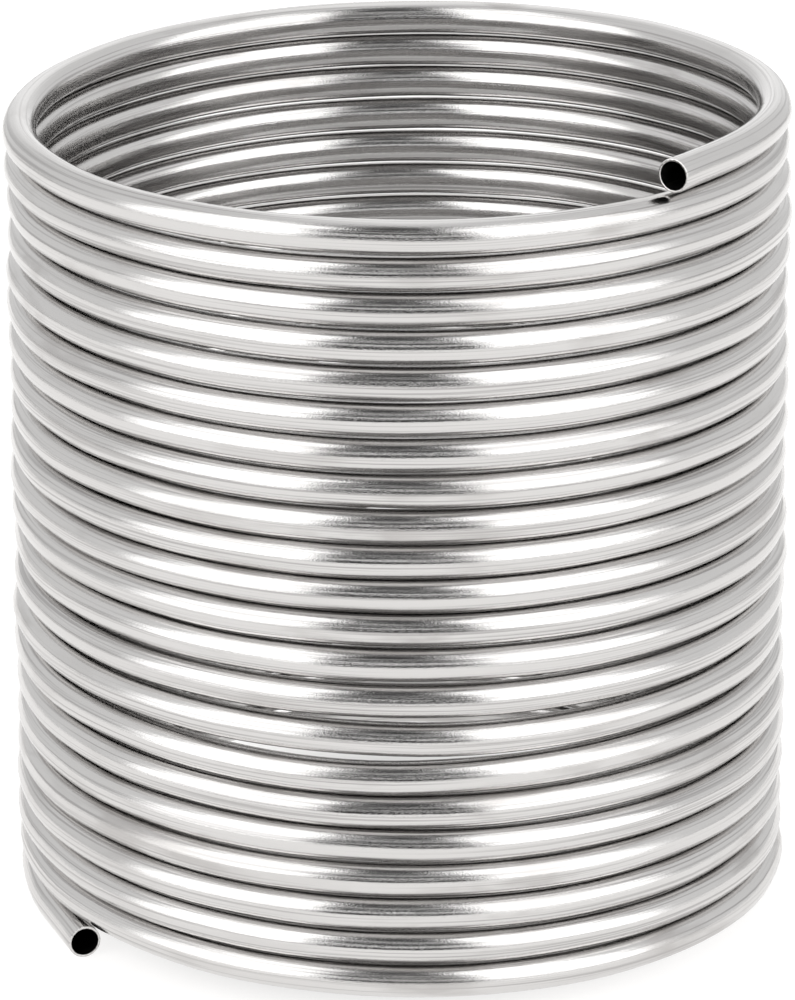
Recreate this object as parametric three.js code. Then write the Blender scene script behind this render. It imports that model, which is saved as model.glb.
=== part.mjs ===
// Immersion wort chiller: one long stainless-steel tube wound into an open, close-wound, left-handed coil.
// Millimetres. The coil's axis is Z, the front is -Y, and it stands on the XY plane.
// Cold water runs through the bore from one plain, square-cut end to the other; hoses push over the ends.

import * as THREE from 'three';

// The tube: 3/8 in outside, 0.028 in wall.
const tubeOutside = 9.525;
const tubeWall = 0.711;

// The coil. Turns are counted from the top end, and going down they run counter-clockwise from above.
const coilDiameter = 213.4;   // across the tube's centreline, at half height
const coilFlare = 0.65;       // how much wider the radius is at the bottom than at half height
const coilTurns = 22.73;
const topEndAngle = -47.2;    // degrees from +X, at the front right
const turnGap = 0.38;         // between neighbouring turns where the coil is tight

// Where the winding is looser than that: from one turn to another it opens by so much in all.
const looseStretches = [
  { from: 1.8, to: 8.9, opens: 1.3 },
  { from: 12.1, to: 18.8, opens: 3.8 },
  { from: 19.0, to: 21.6, opens: 0.8 },
];

// Turns that hang lower at the front, over a short arc. The first one sits a little higher there.
const sagReach = 0.08;
const sags = [
  { turn: 0.83, drop: -0.25 },
  { turn: 1.83, drop: 0.2 },
  { turn: 14.91, drop: 0.8 },
  { turn: 15.86, drop: 1.6 },
  { turn: 16.85, drop: 0.8 },
];

// The windings lean a little to the left at the top and to the right at the bottom.
const topLean = -0.25;
const bottomLean = 0.85;

// The turns wander sideways by a fraction of a millimetre, as the winding of a real coil does.
const wanderReach = 0.4;
const wanderTurns = 4.75;
const wanderStart = 2.1;

// Each end leaves the coil as a short straight tail.
const topTail = 22;
const bottomTail = 26;

// Mesh fineness.
const stepsPerTurn = 18;
const outsideSides = 8;
const boreSides = 6;

const tubeRadius = tubeOutside / 2;
const boreRadius = tubeRadius - tubeWall;
const radians = THREE.MathUtils.degToRad;
const fullTurn = 2 * Math.PI;

const tightPitch = tubeOutside + turnGap;
const arcPerTurn = Math.PI * coilDiameter;

// Height lost between the top end and a given turn.
function drop(turn) {
  let fall = turn * tightPitch;
  for (const stretch of looseStretches) {
    fall += stretch.opens * THREE.MathUtils.smoothstep(turn, stretch.from, stretch.to);
  }
  for (const sag of sags) {
    fall += sag.drop * Math.exp(-(((turn - sag.turn) / sagReach) ** 2));
  }
  const lean = topLean + (bottomLean - topLean) * (turn / coilTurns) ** 2;
  return fall + lean * Math.cos(angleAt(turn));
}

function angleAt(turn) {
  return radians(topEndAngle) + fullTurn * turn;
}

// A point of the wound part of the centreline, with the top end's turn at height 0.
function woundPoint(turn) {
  const radius = coilDiameter / 2 + coilFlare * (2 * turn / coilTurns - 1);
  const phase = fullTurn * (turn - wanderStart) / wanderTurns;
  return new THREE.Vector3(
    radius * Math.cos(angleAt(turn)) + wanderReach * Math.sin(phase),
    radius * Math.sin(angleAt(turn)) + wanderReach * Math.cos(phase),
    -drop(turn),
  );
}

// The tube's centreline: a straight tail, the turns, and another straight tail.
class CoilPath extends THREE.Curve {
  constructor() {
    super();
    this.firstTurn = topTail / arcPerTurn;
    this.lastTurn = coilTurns - bottomTail / arcPerTurn;
    this.arcLengthDivisions = Math.ceil(coilTurns * stepsPerTurn) * 2;
  }

  getPoint(t, target = new THREE.Vector3()) {
    const turn = t * coilTurns;
    const wound = THREE.MathUtils.clamp(turn, this.firstTurn, this.lastTurn);
    target.copy(woundPoint(wound));
    if (wound === turn) return target;
    const past = (turn - wound) * arcPerTurn;
    const heading = angleAt(wound) + Math.PI / 2;
    target.x += past * Math.cos(heading);
    target.y += past * Math.sin(heading);
    target.z -= past * tightPitch / arcPerTurn;
    return target;
  }
}

function ring(radius, sides) {
  const points = [];
  for (let i = 0; i < sides; i += 1) {
    const angle = fullTurn * i / sides;
    points.push(new THREE.Vector2(radius * Math.cos(angle), radius * Math.sin(angle)));
  }
  return points;
}

function buildCoilTube() {
  const section = new THREE.Shape(ring(tubeRadius, outsideSides));
  section.holes.push(new THREE.Path(ring(boreRadius, boreSides)));
  const geometry = new THREE.ExtrudeGeometry(section, {
    steps: Math.ceil(coilTurns * stepsPerTurn),
    curveSegments: 1,
    bevelEnabled: false,
    extrudePath: new CoilPath(),
  });
  geometry.computeBoundingBox();
  const middle = geometry.boundingBox.getCenter(new THREE.Vector3());
  geometry.translate(-middle.x, -middle.y, -geometry.boundingBox.min.z);
  return geometry;
}

const stainless = new THREE.MeshStandardMaterial({ color: 0xc9c7c4, roughness: 0.28, metalness: 1 });

const chiller = new THREE.Group();
const coilTube = new THREE.Mesh(buildCoilTube(), stainless);
coilTube.name = 'coil_tube';
chiller.add(coilTube);

export default chiller;
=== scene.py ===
from math import ceil, cos, exp, pi, radians, sin

import bpy
from mathutils import Matrix, Vector
from mathutils.kdtree import KDTree


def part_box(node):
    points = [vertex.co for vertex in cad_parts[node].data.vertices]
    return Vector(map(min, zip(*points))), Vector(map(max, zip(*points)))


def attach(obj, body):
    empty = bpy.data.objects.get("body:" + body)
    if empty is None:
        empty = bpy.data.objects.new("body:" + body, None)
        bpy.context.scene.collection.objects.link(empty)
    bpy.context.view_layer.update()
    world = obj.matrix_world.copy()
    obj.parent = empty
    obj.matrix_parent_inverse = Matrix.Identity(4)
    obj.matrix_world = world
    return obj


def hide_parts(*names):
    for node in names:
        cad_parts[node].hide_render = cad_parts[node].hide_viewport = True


# Immersion wort chiller: one long stainless tube wound into a standing coil.
# Metres, the coil's axis on Z, the front towards -Y.

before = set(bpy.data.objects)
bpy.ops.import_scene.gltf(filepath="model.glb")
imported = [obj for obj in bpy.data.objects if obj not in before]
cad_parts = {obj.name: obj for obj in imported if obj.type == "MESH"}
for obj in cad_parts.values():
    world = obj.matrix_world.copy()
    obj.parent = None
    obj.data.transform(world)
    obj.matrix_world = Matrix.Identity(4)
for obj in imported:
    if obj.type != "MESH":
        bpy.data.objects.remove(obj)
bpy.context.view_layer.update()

coil = {
    "tubeOutside": 0.009525,
    "tubeWall": 0.000711,
    "diameter": 0.2134,         # across the tube's centreline, at half height
    "flare": 0.00065,           # how much wider the radius is at the bottom
    "turns": 22.73,             # counted from the top end
    "topEndAngle": -47.2,       # degrees from +X
    "turnGap": 0.00038,
    # from one turn to another the winding opens by so much in all
    "looseStretches": [(1.8, 8.9, 0.0013), (12.1, 18.8, 0.0038), (19.0, 21.6, 0.0008)],
    # round these turns it hangs lower by so much, or higher where that is negative
    "sags": [(0.83, -0.00025), (1.83, 0.0002), (14.91, 0.0008), (15.86, 0.0016), (16.85, 0.0008)],
    "sagReach": 0.08,           # turns
    "topLean": -0.00025,        # the turns lean towards -X at the top and +X at the bottom
    "bottomLean": 0.00085,
    "wanderReach": 0.0004,      # how far the turns wander sideways, over how many turns
    "wanderTurns": 4.75,
    "wanderStart": 2.1,
    # ripples in the radius: reach, waves to a turn, start
    "ripples": [(0.00012, 12.3, 0.4), (0.00010, 7.7, 2.0), (0.00005, 19.4, 1.1)],
    "topTail": 0.022,           # straight ends
    "bottomTail": 0.026,
    "stepsPerTurn": 96,
    "outsideSegments": 10,      # bevel resolution: 4 sides, and 2 more for each
    "boreSegments": 7,
    "rimBevel": 0.00016,
    "rimSharp": 60,             # degrees: edges sharper than this are bevelled
    "smoothUnder": 35,          # degrees: edges flatter than this are shaded smooth
}


def angleAt(turn):
    return radians(coil["topEndAngle"]) + 2 * pi * turn


def easedStep(value, low, high):
    t = min(1, max(0, (value - low) / (high - low)))
    return t * t * (3 - 2 * t)


def dropAt(turn):
    # height lost between the top end and a given turn
    pitch = coil["tubeOutside"] + coil["turnGap"]
    fall = turn * pitch
    for start, end, opens in coil["looseStretches"]:
        fall += opens * easedStep(turn, start, end)
    for centre, sag in coil["sags"]:
        fall += sag * exp(-((turn - centre) / coil["sagReach"]) ** 2)
    lean = coil["topLean"] + (coil["bottomLean"] - coil["topLean"]) * (turn / coil["turns"]) ** 2
    return fall + lean * cos(angleAt(turn))


def woundPoint(turn):
    radius = coil["diameter"] / 2 + coil["flare"] * (2 * turn / coil["turns"] - 1)
    for reach, count, start in coil["ripples"]:
        radius += reach * sin(2 * pi * count * turn + start)
    phase = 2 * pi * (turn - coil["wanderStart"]) / coil["wanderTurns"]
    return Vector((
        radius * cos(angleAt(turn)) + coil["wanderReach"] * sin(phase),
        radius * sin(angleAt(turn)) + coil["wanderReach"] * cos(phase),
        -dropAt(turn),
    ))


def tubeLine():
    # the tube's centreline: a straight tail, the turns, another straight tail
    around = pi * coil["diameter"]
    pitch = coil["tubeOutside"] + coil["turnGap"]
    firstTurn = coil["topTail"] / around
    lastTurn = coil["turns"] - coil["bottomTail"] / around
    steps = ceil(coil["turns"] * coil["stepsPerTurn"])
    line = []
    for i in range(steps + 1):
        turn = coil["turns"] * i / steps
        wound = min(lastTurn, max(firstTurn, turn))
        point = woundPoint(wound)
        past = (turn - wound) * around
        heading = angleAt(wound) + pi / 2
        point += Vector((past * cos(heading), past * sin(heading), -past * pitch / around))
        line.append(point)
    return line


def deselectAll():
    bpy.ops.object.select_all(action="DESELECT")


def pickOnly(piece):
    deselectAll()
    piece.select_set(True)
    bpy.context.view_layer.objects.active = piece


def sweptWall(name, line, radius, segments):
    # a round wall swept along the line, open at both ends
    curve = bpy.data.curves.new(name, "CURVE")
    curve.dimensions = "3D"
    curve.twist_mode = "Z_UP"
    curve.bevel_mode = "ROUND"
    curve.bevel_depth = radius
    curve.bevel_resolution = segments
    spline = curve.splines.new("POLY")
    spline.points.add(len(line) - 1)
    for knot, point in zip(spline.points, line):
        knot.co = (*point, 1)
    wall = bpy.data.objects.new(name, curve)
    bpy.context.scene.collection.objects.link(wall)
    pickOnly(wall)
    bpy.ops.object.convert(target="MESH")
    return bpy.context.view_layer.objects.active


def closeRims(tube, ends):
    # joins the outside and the bore at each end
    bpy.ops.object.mode_set(mode="EDIT")
    bpy.ops.mesh.select_mode(type="EDGE")
    for end in ends:
        bpy.ops.mesh.select_all(action="DESELECT")
        bpy.ops.mesh.select_non_manifold(extend=False, use_wire=False, use_multi_face=False,
                                         use_non_contiguous=False, use_verts=False)
        bpy.ops.object.mode_set(mode="OBJECT")
        for edge in tube.data.edges:
            if edge.select:
                middle = (tube.data.vertices[edge.vertices[0]].co
                          + tube.data.vertices[edge.vertices[1]].co) / 2
                edge.select = (middle - end).length < coil["tubeOutside"]
        bpy.ops.object.mode_set(mode="EDIT")
        bpy.ops.mesh.bridge_edge_loops()
    bpy.ops.mesh.select_all(action="DESELECT")
    bpy.ops.object.mode_set(mode="OBJECT")


def breakRimEdges(tube, ends):
    # a fine round on the sharp edges of each cut end
    sharp = radians(coil["rimSharp"])
    faceNormals = {}
    for face in tube.data.polygons:
        for key in face.edge_keys:
            faceNormals.setdefault(key, []).append(face.normal)
    for edge in tube.data.edges:
        a, b = (tube.data.vertices[v].co for v in edge.vertices)
        nearEnd = any(((a + b) / 2 - end).length < coil["tubeOutside"] for end in ends)
        normals = faceNormals[edge.key]
        edge.select = nearEnd and len(normals) == 2 and normals[0].angle(normals[1]) > sharp
    bpy.ops.object.mode_set(mode="EDIT")
    bpy.ops.mesh.bevel(offset=coil["rimBevel"], segments=2, affect="EDGES")
    bpy.ops.mesh.select_all(action="DESELECT")
    bpy.ops.object.mode_set(mode="OBJECT")


def markTubeSpace(tube, line):
    # where each vertex would be if the tube were straight: across, up, and along
    tree = KDTree(len(line))
    for i, point in enumerate(line):
        tree.insert(point, i)
    tree.balance()
    along = [0.0]
    for a, b in zip(line, line[1:]):
        along.append(along[-1] + (b - a).length)
    last = len(line) - 1
    mark = tube.data.attributes.new("tubeSpace", "FLOAT_VECTOR", "POINT")
    for vertex in tube.data.vertices:
        point, i, _ = tree.find(vertex.co)
        ahead = (line[min(i + 1, last)] - line[max(i - 1, 0)]).normalized()
        side = ahead.cross(Vector((0, 0, 1))).normalized()
        up = side.cross(ahead)
        offset = vertex.co - point
        mark.data[vertex.index].vector = (offset.dot(side), offset.dot(up), along[i] + offset.dot(ahead))


def makeCoilTube():
    line = tubeLine()
    outsideRadius = coil["tubeOutside"] / 2
    tube = sweptWall("coilTube", line, outsideRadius, coil["outsideSegments"])
    bore = sweptWall("coilBore", line, outsideRadius - coil["tubeWall"], coil["boreSegments"])
    bpy.ops.object.mode_set(mode="EDIT")
    bpy.ops.mesh.select_all(action="SELECT")
    bpy.ops.mesh.flip_normals()
    bpy.ops.object.mode_set(mode="OBJECT")
    deselectAll()
    bore.select_set(True)
    tube.select_set(True)
    bpy.context.view_layer.objects.active = tube
    bpy.ops.object.join()
    ends = (line[0], line[-1])
    closeRims(tube, ends)
    breakRimEdges(tube, ends)
    markTubeSpace(tube, line)

    # stand it where the frame's own tube stands
    low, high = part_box("coil_tube")
    xs, ys, zs = zip(*(v.co for v in tube.data.vertices))
    shift = Vector((
        (low.x + high.x - min(xs) - max(xs)) / 2,
        (low.y + high.y - min(ys) - max(ys)) / 2,
        low.z - min(zs),
    ))
    tube.data.transform(Matrix.Translation(shift))
    pickOnly(tube)
    bpy.ops.object.shade_smooth_by_angle(angle=radians(coil["smoothUnder"]))
    return tube


steel = {
    "color": (0.65, 0.64, 0.632),
    "lineColor": (0.42, 0.41, 0.405),
    "smudgeColor": (0.47, 0.455, 0.445),
    "gapShadeColor": (0.06, 0.057, 0.055),
    "roughness": 0.13,
    "lineRoughness": 0.05,              # more or less than that, from line to line
    "smudgeRoughness": 0.08,            # more, on the marks
    # noise to the metre, first across the tube twice and then along it
    "drawLines": (1300, 1300, 9),
    "fineLines": (4200, 4200, 60),
    "grain": (3400, 3400, 1500),
    "smudges": (95, 95, 26),
    "handling": (14, 14, 14),           # this one over the whole coil
    # how deep the same noises are
    "lineDepth": 0.00006,
    "fineDepth": 0.00001,
    "grainDepth": 0.00003,
    # from where to where in a noise its colour shows, and how strongly
    "lined": (0.48, 0.68, 0, 0.9),
    "smudged": (0.52, 0.68, 0, 1),
    "handled": (0.40, 0.62, 0.15, 0.8),
    # painted shade: the dark line of each turn, as shares of the radius above and below the centreline
    "under": (-0.999, -0.985),
    "over": (0.9935, 0.9985),
    "firstCovered": (0.673, 0.70),      # how far along the tube the top first has a turn above it
}


def addNode(tree, kind, place, **values):
    node = tree.nodes.new(kind)
    node.location = place
    for name, value in values.items():
        setattr(node, name, value)
    return node


def addNoise(tree, source, scale, place, detail, roughness):
    # noise with its own scale on each axis
    spread = addNode(tree, "ShaderNodeMapping", place)
    spread.inputs["Scale"].default_value = scale
    tree.links.new(source, spread.inputs["Vector"])
    noise = addNode(tree, "ShaderNodeTexNoise", (place[0] + 200, place[1]))
    noise.inputs["Scale"].default_value = 1
    noise.inputs["Detail"].default_value = detail
    noise.inputs["Roughness"].default_value = roughness
    tree.links.new(spread.outputs["Vector"], noise.inputs["Vector"])
    return noise.outputs["Fac"]


def addRange(tree, value, place, low, high, toLow, toHigh):
    spread = addNode(tree, "ShaderNodeMapRange", place, interpolation_type="SMOOTHSTEP")
    spread.inputs["From Min"].default_value = low
    spread.inputs["From Max"].default_value = high
    spread.inputs["To Min"].default_value = toLow
    spread.inputs["To Max"].default_value = toHigh
    tree.links.new(value, spread.inputs["Value"])
    return spread.outputs["Result"]


def addMath(tree, operation, a, b, place):
    node = addNode(tree, "ShaderNodeMath", place, operation=operation)
    for socket, value in zip(node.inputs, (a, b)):
        if isinstance(value, (int, float)):
            socket.default_value = value
        else:
            tree.links.new(value, socket)
    return node.outputs[0]


def addTint(tree, factor, base, tint, place):
    mix = addNode(tree, "ShaderNodeMix", place, data_type="RGBA")
    tree.links.new(factor, mix.inputs["Factor"])
    for socket, value in ((mix.inputs["A"], base), (mix.inputs["B"], tint)):
        if isinstance(value, tuple):
            socket.default_value = (*value, 1)
        else:
            tree.links.new(value, socket)
    return mix.outputs["Result"]


def addBump(tree, height, distance, place, below=None):
    bump = addNode(tree, "ShaderNodeBump", place)
    bump.inputs["Distance"].default_value = distance
    tree.links.new(height, bump.inputs["Height"])
    if below is not None:
        tree.links.new(below, bump.inputs["Normal"])
    return bump.outputs["Normal"]


def drawnStainless():
    material = bpy.data.materials.new("drawnStainless")
    material.use_nodes = True
    tree = material.node_tree
    link = tree.links.new
    shader = tree.nodes["Principled BSDF"]
    shader.inputs["Metallic"].default_value = 1
    straight = addNode(tree, "ShaderNodeAttribute", (-2000, 0), attribute_name="tubeSpace")
    place = addNode(tree, "ShaderNodeTexCoord", (-2000, -300))

    drawLines = addNoise(tree, straight.outputs["Vector"], steel["drawLines"], (-1700, 400), 3, 0.5)
    fineLines = addNoise(tree, straight.outputs["Vector"], steel["fineLines"], (-1700, 150), 2, 0.5)
    grain = addNoise(tree, straight.outputs["Vector"], steel["grain"], (-1700, -100), 2, 0.6)
    smudges = addNoise(tree, straight.outputs["Vector"], steel["smudges"], (-1700, -350), 3, 0.55)
    handling = addNoise(tree, place.outputs["Object"], steel["handling"], (-1700, -600), 2, 0.5)

    # darker lines drawn along the tube, and soft marks from winding and handling
    lined = addRange(tree, drawLines, (-1200, 400), *steel["lined"])
    color = addTint(tree, lined, steel["color"], steel["lineColor"], (-900, 400))
    smudged = addRange(tree, smudges, (-1200, -350), *steel["smudged"])
    handled = addRange(tree, handling, (-1200, -600), *steel["handled"])
    marked = addMath(tree, "MULTIPLY", smudged, handled, (-1000, -450))
    color = addTint(tree, marked, color, steel["smudgeColor"], (-700, 300))

    # painted shade: the turns nearly touch along their undersides and tops, and the narrow gaps there
    # are painted dark, on the top only where a turn lies over it
    axes = addNode(tree, "ShaderNodeSeparateXYZ", (-1700, 700))
    link(straight.outputs["Vector"], axes.inputs["Vector"])
    radius = coil["tubeOutside"] / 2
    underLow, underHigh = (share * radius for share in steel["under"])
    overLow, overHigh = (share * radius for share in steel["over"])
    under = addRange(tree, axes.outputs["Y"], (-1400, 700), underLow, underHigh, 1, 0)
    over = addRange(tree, axes.outputs["Y"], (-1400, 900), overLow, overHigh, 0, 1)
    covered = addRange(tree, axes.outputs["Z"], (-1400, 1100), *steel["firstCovered"], 0, 1)
    over = addMath(tree, "MULTIPLY", over, covered, (-1200, 1000))
    gapShade = addMath(tree, "MAXIMUM", under, over, (-1000, 800))
    color = addTint(tree, gapShade, color, steel["gapShadeColor"], (-500, 400))
    link(color, shader.inputs["Base Color"])

    more = steel["lineRoughness"]
    lineRough = addRange(tree, fineLines, (-1200, 150), 0.25, 0.75, -more, more)
    markRough = addMath(tree, "MULTIPLY", marked, steel["smudgeRoughness"], (-800, -450))
    rough = addMath(tree, "ADD", lineRough, markRough, (-600, 0))
    rough = addMath(tree, "ADD", rough, steel["roughness"], (-400, 0))
    link(rough, shader.inputs["Roughness"])

    normal = addBump(tree, drawLines, steel["lineDepth"], (-900, -700))
    normal = addBump(tree, fineLines, steel["fineDepth"], (-700, -700), normal)
    normal = addBump(tree, grain, steel["grainDepth"], (-500, -700), normal)
    link(normal, shader.inputs["Normal"])
    return material


studio = {
    "cameraPlace": (-0.0006, -1.4531, 0.6350),
    "cameraPitch": 19.69,               # degrees below level
    "cameraRoll": -0.235,
    "lens": 192.28,                     # millimetres, on a sensor this wide
    "sensor": 36,
    "floorSize": 10,
    # painted light: the floor glows though it is no lamp, which washes out its shadow round the coil
    "floorColor": (0.30, 0.298, 0.296),
    "floorGlow": 2.75,
    # painted shade: inside the coil the glow is cut, where the coil would shade the floor
    "coilShadeRadii": (0.06, 0.108),         # inside the coil, up to these radii, the floor glows less
    "coilShadeShare": 0.5,
    "farFloor": (1.1, 2.4),             # from these radii on it glows less again
    "farShare": 0.45,
    "strength": 4,                      # the brightest that a level below may be
    # all round: share of the way from the front to the back, and brightness there
    "walls": [(0.0, 2.1), (0.40, 2.1), (0.50, 0.86), (0.85, 0.82), (1.0, 1.15)],
    "ceiling": [(0.0, 0.16), (0.22, 0.30), (0.50, 0.85), (1.0, 0.85)],
    "ceilingEdge": (0.90, 0.98),        # sines of the heights where the walls give way to it
    # straight in front: sine of the height, and brightness there
    "front": [(0.0, 0.06), (0.14, 0.03), (0.22, 0.08), (0.30, 0.85), (0.36, 1.2), (0.42, 0.34),
              (0.48, 0.06), (0.59, 0.05), (0.67, 0.42), (0.73, 0.68), (0.79, 0.20), (0.88, 0.05),
              (0.95, 0.05)],
    "frontEdge": (0.10, 0.17),          # shares of the way round where it gives way to the walls
}


def addLevels(tree, value, stops, place):
    # a soft run of brightness levels along a value from 0 to 1
    ramp = addNode(tree, "ShaderNodeValToRGB", place)
    ramp.color_ramp.interpolation = "EASE"
    while len(ramp.color_ramp.elements) < len(stops):
        ramp.color_ramp.elements.new(0.5)
    for element, (position, level) in zip(ramp.color_ramp.elements, stops):
        element.position = position
        element.color = (*(level / studio["strength"],) * 3, 1)
    tree.links.new(value, ramp.inputs["Fac"])
    return ramp.outputs["Color"]


def glowingPaper():
    material = bpy.data.materials.new("glowingPaper")
    material.use_nodes = True
    tree = material.node_tree
    shader = tree.nodes["Principled BSDF"]
    shader.inputs["Base Color"].default_value = (*studio["floorColor"], 1)
    shader.inputs["Roughness"].default_value = 1
    shader.inputs["Specular IOR Level"].default_value = 0
    shader.inputs["Emission Color"].default_value = (*studio["floorColor"], 1)
    # painted light: the floor's own glow, cut inside the coil as painted shade and lower far off
    place = addNode(tree, "ShaderNodeTexCoord", (-900, 0))
    fromMiddle = addNode(tree, "ShaderNodeVectorMath", (-700, 0), operation="LENGTH")
    tree.links.new(place.outputs["Object"], fromMiddle.inputs[0])
    radius = fromMiddle.outputs["Value"]
    farGlow = studio["floorGlow"] * studio["farShare"]
    near = addRange(tree, radius, (-500, 100), *studio["coilShadeRadii"], studio["coilShadeShare"], 1)
    far = addRange(tree, radius, (-500, -200), *studio["farFloor"], studio["floorGlow"], farGlow)
    glow = addMath(tree, "MULTIPLY", near, far, (-300, 0))
    tree.links.new(glow, shader.inputs["Emission Strength"])
    return material


def makeFloor():
    bpy.ops.mesh.primitive_plane_add(size=studio["floorSize"])
    floor = bpy.context.object
    floor.name = "studioFloor"
    floor.data.materials.append(glowingPaper())


def makeAir():
    # dark straight in front, a wide bright panel to each side of that, plain grey further round,
    # and a ceiling that is dim in its front half
    world = bpy.data.worlds.new("studioAir")
    bpy.context.scene.world = world
    world.use_nodes = True
    tree = world.node_tree
    sky = tree.nodes["Background"]
    place = addNode(tree, "ShaderNodeTexCoord", (-1300, 0))
    axes = addNode(tree, "ShaderNodeSeparateXYZ", (-1100, 0))
    tree.links.new(place.outputs["Generated"], axes.inputs["Vector"])
    forward = addMath(tree, "MULTIPLY", axes.outputs["Y"], -1, (-900, -100))
    sideways = addMath(tree, "ABSOLUTE", axes.outputs["X"], 0, (-900, 100))
    bearing = addMath(tree, "ARCTAN2", sideways, forward, (-700, 0))
    share = addMath(tree, "DIVIDE", bearing, pi, (-500, 0))
    height = axes.outputs["Z"]
    walls = addLevels(tree, share, studio["walls"], (-300, 0))
    front = addLevels(tree, height, studio["front"], (-300, 300))
    ceiling = addLevels(tree, share, studio["ceiling"], (-300, -600))
    inFront = addRange(tree, share, (-300, 600), *studio["frontEdge"], 1, 0)
    high = addRange(tree, height, (-300, -300), *studio["ceilingEdge"], 0, 1)
    walls = addTint(tree, inFront, walls, front, (-100, 200))
    tree.links.new(addTint(tree, high, walls, ceiling, (0, 0)), sky.inputs["Color"])
    sky.inputs["Strength"].default_value = studio["strength"]


def makeCamera():
    data = bpy.data.cameras.new("studioCamera")
    data.lens = studio["lens"]
    data.sensor_width = studio["sensor"]
    camera = bpy.data.objects.new("studioCamera", data)
    bpy.context.scene.collection.objects.link(camera)
    camera.matrix_world = (Matrix.Translation(studio["cameraPlace"])
                           @ Matrix.Rotation(radians(90 - studio["cameraPitch"]), 4, "X")
                           @ Matrix.Rotation(radians(studio["cameraRoll"]), 4, "Z"))
    bpy.context.scene.camera = camera


deselectAll()
coilTube = makeCoilTube()
print("coil tube made:", len(coilTube.data.polygons), "faces")
coilTube.data.materials.clear()
coilTube.data.materials.append(drawnStainless())
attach(coilTube, "root")
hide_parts("coil_tube")
makeFloor()
makeAir()
makeCamera()
bpy.context.scene.view_settings.view_transform = "Standard"
print("studio made")
